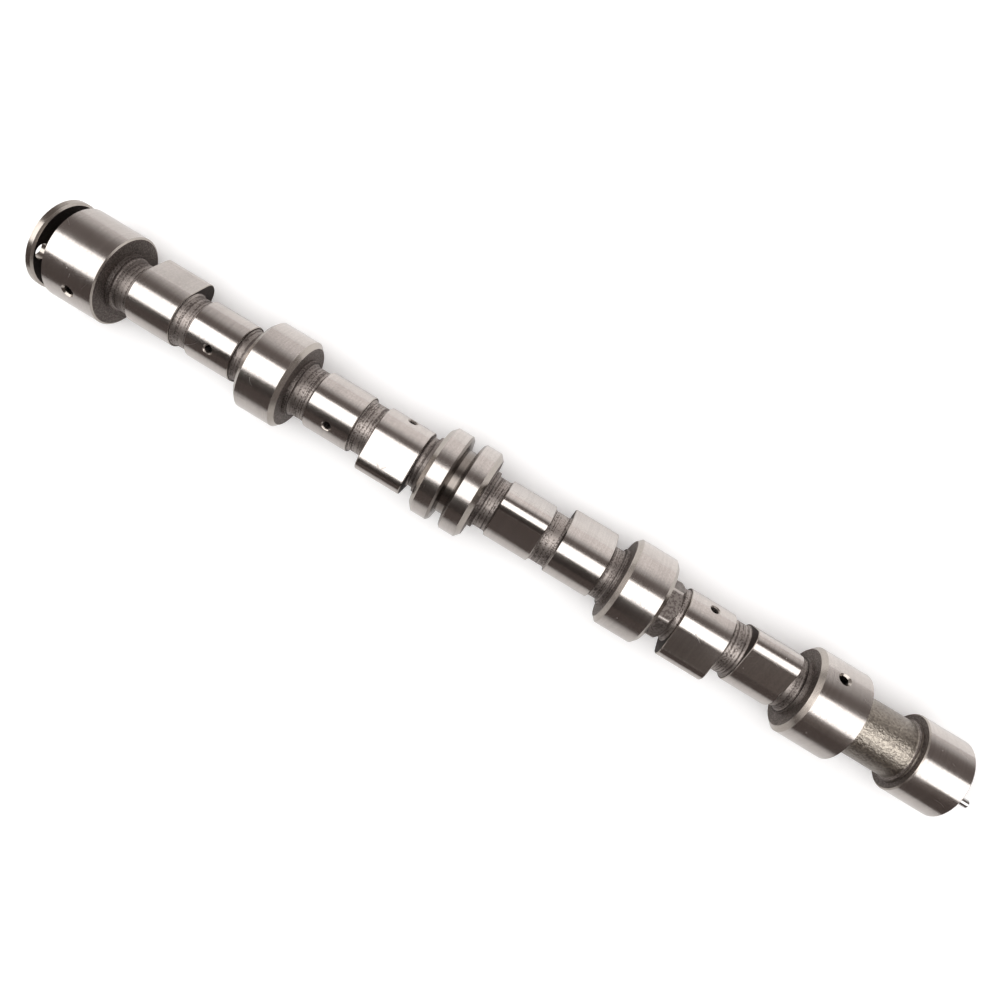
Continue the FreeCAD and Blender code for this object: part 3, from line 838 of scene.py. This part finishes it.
def build_world(room):
    """Studio room: dim, paler behind the shaft and beyond its rear end, white to the camera."""
    world = bpy.data.worlds.new("Studio")
    world.use_nodes = True
    tree = world.node_tree
    tree.nodes.clear()
    along, across, upward = parts(tree, add(tree, "ShaderNodeTexCoord").outputs["Generated"])
    depth = calc(tree, "MAXIMUM", across, room.least_depth)
    rise = calc(tree, "DIVIDE", upward, depth)
    beside = calc(tree, "DIVIDE", calc(tree, "ABSOLUTE", along), depth)
    wall = chain(tree, "MULTIPLY", fade(tree, rise, *room.wall_rise), fade(tree, beside, *room.wall_side),
                 room.wall_light)
    skirt = chain(tree, "MULTIPLY", fade(tree, rise, *room.skirt_rise),
                  fade(tree, beside, *room.skirt_side), room.skirt_light)
    front = fade(tree, across, *room.front_turn, *room.front_light)
    ends = fade(tree, calc(tree, "ABSOLUTE", along), *room.end_turn, 0.0, room.end_light)
    card = chain(tree, "MULTIPLY", fade(tree, along, *room.card_turn), fade(tree, upward, *room.card_rise),
                 room.card_light)
    light = chain(tree, "ADD", calc(tree, "MAXIMUM", wall, skirt), front, card, ends)
    tint = mix_colour(tree, fade(tree, light, *room.tint_light, smooth=False), room.dim_tint,
                      room.bright_tint)
    glow = add(tree, "ShaderNodeBackground", {"Color": tint, "Strength": light})
    white = add(tree, "ShaderNodeBackground", {"Color": (1.0, 1.0, 1.0), "Strength": 1.0})
    seen = add(tree, "ShaderNodeLightPath").outputs["Is Camera Ray"]
    shown = add(tree, "ShaderNodeMixShader", {0: seen, 1: glow.outputs[0], 2: white.outputs[0]})
    add(tree, "ShaderNodeOutputWorld", {"Surface": shown.outputs[0]})
    bpy.context.scene.world = world


def build_floor(stage):
    """Flat table at the shaft's foot."""
    half = stage.floor_size / 2
    corners = [(-half, -half, 0), (half, -half, 0), (half, half, 0), (-half, half, 0)]
    table = place_mesh("table", corners, [(0, 1, 2, 3)], floor_material(stage))


def build_softbox(stage):
    """Wide lamp straight above the shaft, from its near edge to its far edge."""
    near = -stage.softbox_height * math.tan(stage.softbox_front)
    far = stage.softbox_height * math.tan(stage.softbox_back)
    lamp = bpy.data.lights.new("Softbox", "AREA")
    lamp.shape = "RECTANGLE"
    lamp.size = stage.softbox_length
    lamp.size_y = far - near
    lamp.energy = stage.softbox_power
    softbox = place_object("Softbox", lamp)
    softbox.location = (stage.softbox_station, (near + far) / 2, AXIS_HEIGHT + stage.softbox_height)


def build_shade(name, stage, size, side, tone, worn):
    """Oval of cloth beside the camera, which hides a part of the softbox from the shaft, with painted light
    on a paler part.
    """
    turns = [2 * math.pi * i / stage.shade_steps for i in range(stage.shade_steps)]
    centre = Vector((stage.shade_station, side, AXIS_HEIGHT + stage.camera_height))
    half_length, half_width = size[0] / 2, size[1] / 2
    rim = [centre + Vector((half_length * math.cos(turn), half_width * math.sin(turn), 0)) for turn in turns]
    material, tree, surface = new_material(name)
    place = add(tree, "ShaderNodeTexCoord").outputs["Object"]
    along, across, _ = parts(tree, place)
    # Painted light: the shade's cloth turns paler towards its drive end.
    paler = calc(tree, "MULTIPLY", fade(tree, along, *stage.lit_along),
                 fade(tree, across, *stage.lit_across))
    join(tree, mix_colour(tree, paler, tone, worn), surface.inputs["Base Color"])
    surface.inputs["Roughness"].default_value = 1.0
    shade = place_mesh(name, rim, [tuple(range(stage.shade_steps))], material)
    shade.visible_camera = False


def build_shades(stage):
    """Dark shade in front of the camera and a narrow grey one behind it."""
    near = -stage.near_shade_edge - stage.near_shade_width / 2
    far = stage.far_shade_edge + stage.far_shade_width / 2
    build_shade("near_shade", stage, (stage.near_shade_length, stage.near_shade_width), near,
                stage.near_shade_colour, stage.near_shade_lit_colour)
    build_shade("far_shade", stage, (stage.far_shade_length, stage.far_shade_width), far,
                stage.far_shade_colour, stage.far_shade_colour)


def build_camera(stage):
    """Camera above the shaft, looking straight down on it."""
    lens = bpy.data.cameras.new("Camera")
    lens.sensor_width = 36.0
    lens.lens = stage.lens
    lens.clip_start = 0.01
    camera = place_object("Camera", lens)
    turn = (Matrix.Rotation(stage.camera_pitch, 4, "X") @ Matrix.Rotation(stage.camera_yaw, 4, "Y")
            @ Matrix.Rotation(stage.camera_roll, 4, "Z"))
    place = Vector((stage.camera_station, 0.0, AXIS_HEIGHT + stage.camera_height))
    camera.matrix_world = Matrix.Translation(place) @ turn
    bpy.context.scene.camera = camera


class CAMSHAFT_OT_casting(Operator):
    """Give the casting its ground, turned and cast surfaces"""

    bl_idname = "camshaft.casting"
    bl_label = "Casting"

    def execute(self, context):
        build_groups()
        settings = context.scene.camshaft
        give_material("camshaft", casting_material(settings.layout, settings.metal, settings.wear))
        return {"FINISHED"}


class CAMSHAFT_OT_dowel(Operator):
    """Give the dowel its ground steel"""

    bl_idname = "camshaft.dowel"
    bl_label = "Dowel"

    def execute(self, context):
        build_groups()
        settings = context.scene.camshaft
        metal = settings.metal
        give_material("dowel_pin", steel_material(settings, "Dowel steel", metal.dowel_colour,
                                                  metal.dowel_roughness, metal.dowel_pitch))
        return {"FINISHED"}


class CAMSHAFT_OT_plug(Operator):
    """Give the gallery plug its pressed steel"""

    bl_idname = "camshaft.plug"
    bl_label = "Gallery plug"

    def execute(self, context):
        build_groups()
        settings = context.scene.camshaft
        metal = settings.metal
        give_material("gallery_plug", steel_material(settings, "Plug steel", metal.plug_colour,
                                                     metal.plug_roughness, metal.plug_pitch))
        return {"FINISHED"}


class CAMSHAFT_OT_bolt_thread(Operator):
    """Cut the thread of the bolt hole in the drive end"""

    bl_idname = "camshaft.bolt_thread"
    bl_label = "Bolt thread"

    def execute(self, context):
        build_groups()
        settings = context.scene.camshaft
        metal = settings.metal
        iron = steel_material(settings, "Thread iron", metal.turned_colour, metal.thread_roughness,
                              metal.turning_pitch)
        ridge = thread_ridge(settings.thread, iron)
        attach(ridge, "root")
        return {"FINISHED"}


class CAMSHAFT_OT_stage(Operator):
    """Set up the table, the room, the softbox, the shades and the camera"""

    bl_idname = "camshaft.stage"
    bl_label = "Stage"

    def execute(self, context):
        stage = context.scene.camshaft.stage
        build_floor(stage)
        build_world(context.scene.camshaft.room)
        build_softbox(stage)
        build_shades(stage)
        build_camera(stage)
        context.scene.view_settings.view_transform = "Standard"
        return {"FINISHED"}


class CAMSHAFT_PT_panel(Panel):
    """Camshaft's pieces and stage"""

    bl_idname = "CAMSHAFT_PT_panel"
    bl_label = "Camshaft"
    bl_space_type = "VIEW_3D"
    bl_region_type = "UI"
    bl_category = "Camshaft"

    def draw(self, context):
        for operator in OPERATORS:
            self.layout.operator(operator.bl_idname)
        settings = context.scene.camshaft
        for group in (settings.layout, settings.metal, settings.wear, settings.thread, settings.stage,
                      settings.room):
            box = self.layout.box()
            for name in group.__annotations__:
                box.prop(group, name)


OPERATORS = (CAMSHAFT_OT_casting, CAMSHAFT_OT_dowel, CAMSHAFT_OT_plug, CAMSHAFT_OT_bolt_thread,
             CAMSHAFT_OT_stage)
CLASSES = (CamshaftLayout, CamshaftMetal, CamshaftWear, CamshaftThread, CamshaftStage, CamshaftRoom,
           CamshaftSettings, *OPERATORS, CAMSHAFT_PT_panel)


def register():
    for known in CLASSES:
        bpy.utils.register_class(known)
    bpy.types.Scene.camshaft = PointerProperty(type=CamshaftSettings)


def unregister():
    del bpy.types.Scene.camshaft
    for known in reversed(CLASSES):
        bpy.utils.unregister_class(known)


def main():
    register()
    bpy.ops.camshaft.casting()
    bpy.ops.camshaft.dowel()
    bpy.ops.camshaft.plug()
    bpy.ops.camshaft.bolt_thread()
    bpy.ops.camshaft.stage()


if __name__ == "__main__":
    main()
